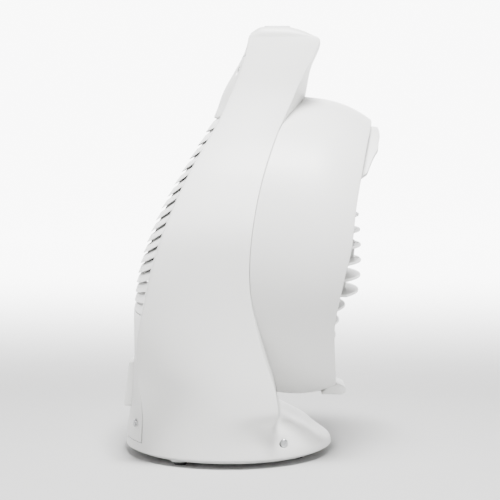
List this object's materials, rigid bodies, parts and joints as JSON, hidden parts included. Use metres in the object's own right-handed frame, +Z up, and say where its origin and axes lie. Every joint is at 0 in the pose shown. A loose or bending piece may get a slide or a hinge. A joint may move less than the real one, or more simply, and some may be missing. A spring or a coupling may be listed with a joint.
{
  "type": "fan heater",
  "caption": "Upright white fan heater with a tilted round outlet barrel, fin grille, louvred rear cover and elliptical foot",
  "frame": {"origin": "on the floor, at the centre of the whole outline seen from above", "axes": "+X the way the air blows, +Z up, +Y to the heater's left seen from behind"},
  "size_m": [0.191, 0.222, 0.3161],
  "materials": {
    "white_plastic": "satin moulded white plastic",
    "grey_plastic": "fine matt light grey plastic",
    "knob_plastic": "satin light grey plastic",
    "base_plastic": "matt off-white plastic",
    "heat_plastic": "matt heat-resistant moulding",
    "dark_plastic": "matt black plastic",
    "rubber": "black rubber",
    "steel_wire": "bright steel",
    "screw_steel": "zinc-plated steel",
    "sheet_metal": "plain sheet steel",
    "painted_steel": "dark painted steel",
    "motor_core": "stacked steel sheets, lacquered",
    "copper_wire": "lacquered copper wire",
    "bronze": "sintered bronze",
    "heating_strip": "folded metal fins round a ceramic core",
    "lamp_lens": "clear amber plastic",
    "lead_insulation": "flexible insulation"
  },
  "bodies": {
    "housing": {"main_shell": "white_plastic", "rear_cover": "white_plastic", "outlet_barrel": "white_plastic", "front_ring": "white_plastic", "front_grille": "white_plastic", "grille_cap": "white_plastic", "safety_guard": "steel_wire", "heater_frame": "heat_plastic", "heating_strips": "heating_strip", "thermal_cutout": "sheet_metal", "thermal_fuse": "sheet_metal", "fan_shroud": "white_plastic", "motor_mount": "sheet_metal", "front_bracket": "sheet_metal", "rear_bracket": "sheet_metal", "bearings": "bronze", "motor_stator": "motor_core", "motor_coils": "copper_wire", "control_panel": "grey_plastic", "heat_switch": "dark_plastic", "thermostat": "dark_plastic", "pilot_lamp": "lamp_lens", "base_plate": "base_plastic", "ballast_plate": "painted_steel", "rubber_feet": "rubber", "tip_switch": "dark_plastic", "plunger_spring": "steel_wire", "terminal_block": "base_plastic", "cord_inlet": "white_plastic", "gland_bush": "rubber", "cord_clamp": "base_plastic", "side_screws": "screw_steel", "base_screws": "screw_steel", "cover_screws": "screw_steel", "duct_screws": "screw_steel", "motor_screws": "screw_steel", "clamp_screws": "screw_steel", "inner_leads": "lead_insulation"},
    "fan_rotor": {"fan": "dark_plastic", "fan_clip": "steel_wire", "motor_shaft": "steel_wire", "motor_rotor": "motor_core"},
    "heat_knob": {"heat_knob": "knob_plastic"},
    "thermostat_knob": {"thermostat_knob": "knob_plastic"},
    "tip_plunger": {"tip_plunger": "knob_plastic"}
  },
  "joints": [
    {"name": "fan_spin", "type": "hinge", "parent": "housing", "child": "fan_rotor", "pos_m": [0.0295, 0, 0.154], "axis": [0.9925, 0, -0.1219], "continuous": true},
    {"name": "heat_knob_turn", "type": "hinge", "parent": "housing", "child": "heat_knob", "pos_m": [0.018, -0.021, 0.3041], "axis": [0, 0, -1], "range_deg": [0, 270]},
    {"name": "thermostat_turn", "type": "hinge", "parent": "housing", "child": "thermostat_knob", "pos_m": [0.018, 0.021, 0.3041], "axis": [0, 0, -1], "range_deg": [-135, 135]},
    {"name": "plunger_slide", "type": "slide", "parent": "housing", "child": "tip_plunger", "axis": [0, 0, -1], "range_m": [0, 0.004], "stiffness_N_per_m": 60, "springref_m": 0.006, "deforming": ["plunger_spring"]}
  ]
}
